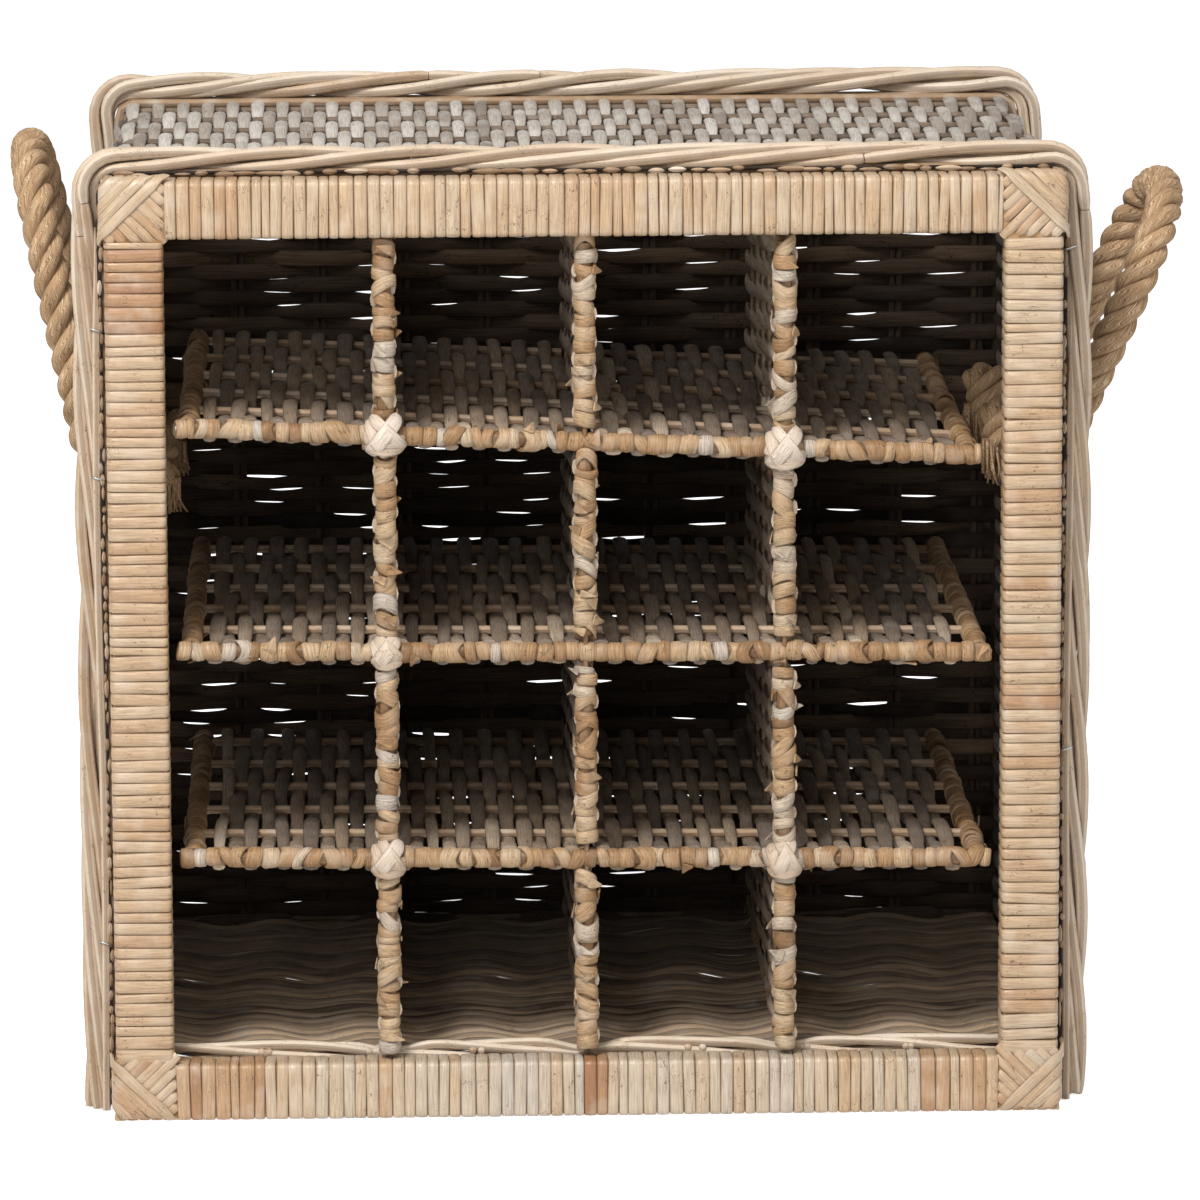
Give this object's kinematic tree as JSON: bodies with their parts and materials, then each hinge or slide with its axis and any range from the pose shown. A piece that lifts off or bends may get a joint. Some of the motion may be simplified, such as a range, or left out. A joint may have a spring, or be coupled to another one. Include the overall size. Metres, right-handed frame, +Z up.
{
  "type": "bottle basket",
  "caption": "Square woven rattan box, open at the front, with a slide-out divider that makes bays for bottles, braided rims and a rope handle on each side.",
  "frame": {"origin": "middle of the underside of the front frame's bottom bar, where the basket rests", "axes": "+X to the right across the open front, +Y from the open front to the woven back, +Z up"},
  "size_m": [0.596, 0.3215, 0.4888],
  "materials": {
    "woven_peel": "woven split rattan peel, weathered grey-brown",
    "dark_weave": "woven round rattan core, dark and unpolished",
    "binding_cane": "flat binding cane, satin",
    "rod_braid": "whole peeled rattan rods, matt",
    "rattan_pole": "round rattan pole, satin",
    "slat_wood": "plain sawn slat",
    "twisted_rope": "three-strand twisted hard-fibre rope, hairy and matt",
    "steel_wire": "drawn wire, dull"
  },
  "bodies": {
    "basket": {"top_panel": "woven_peel", "left_side_panel": "woven_peel", "right_side_panel": "woven_peel", "back_panel": "dark_weave", "base_panel": "dark_weave", "front_frame_wrap_bottom": "binding_cane", "front_frame_wrap_top": "binding_cane", "front_frame_wrap_left": "binding_cane", "front_frame_wrap_right": "binding_cane", "front_frame_corner_bottom_left": "binding_cane", "front_frame_corner_bottom_right": "binding_cane", "front_frame_corner_top_left": "binding_cane", "front_frame_corner_top_right": "binding_cane", "front_rim_braid": "rod_braid", "back_rim_braid": "rod_braid", "floor_edge_twine": "rod_braid", "corner_pole_top_left": "rattan_pole", "corner_pole_top_right": "rattan_pole", "corner_pole_bottom_left": "rattan_pole", "corner_pole_bottom_right": "rattan_pole", "back_pole_top": "rattan_pole", "back_pole_bottom": "rattan_pole", "front_frame_slat_bottom": "slat_wood", "front_frame_slat_top": "slat_wood", "front_frame_slat_left": "slat_wood", "front_frame_slat_right": "slat_wood", "left_front_knot": "twisted_rope", "left_rear_knot": "twisted_rope", "right_front_knot": "twisted_rope", "right_rear_knot": "twisted_rope"},
    "divider_insert": {"shelf_1": "woven_peel", "shelf_2": "woven_peel", "shelf_3": "woven_peel", "upright_1": "woven_peel", "upright_2": "woven_peel", "upright_3": "woven_peel", "lashing_shelf_1_upright_1": "binding_cane", "lashing_shelf_1_upright_3": "binding_cane", "lashing_shelf_2_upright_1": "binding_cane", "lashing_shelf_3_upright_1": "binding_cane", "lashing_shelf_3_upright_3": "binding_cane", "shelf_1_edge_rod": "steel_wire", "shelf_2_edge_rod": "steel_wire", "shelf_3_edge_rod": "steel_wire"},
    "left_handle": {"left_rope_handle": "twisted_rope"},
    "right_handle": {"right_rope_handle": "twisted_rope"}
  },
  "joints": [
    {"name": "divider_slide", "type": "slide", "parent": "basket", "child": "divider_insert", "axis": [0, -1, 0], "range_m": [0, 0.345]},
    {"name": "left_handle_swing", "type": "hinge", "parent": "basket", "child": "left_handle", "pos_m": [-0.2475, 0.15, 0.328], "axis": [0, -1, 0], "range_deg": [-10.5, 166]},
    {"name": "right_handle_swing", "type": "hinge", "parent": "basket", "child": "right_handle", "pos_m": [0.2475, 0.15, 0.328], "axis": [0, 1, 0], "range_deg": [-23, 154]}
  ]
}
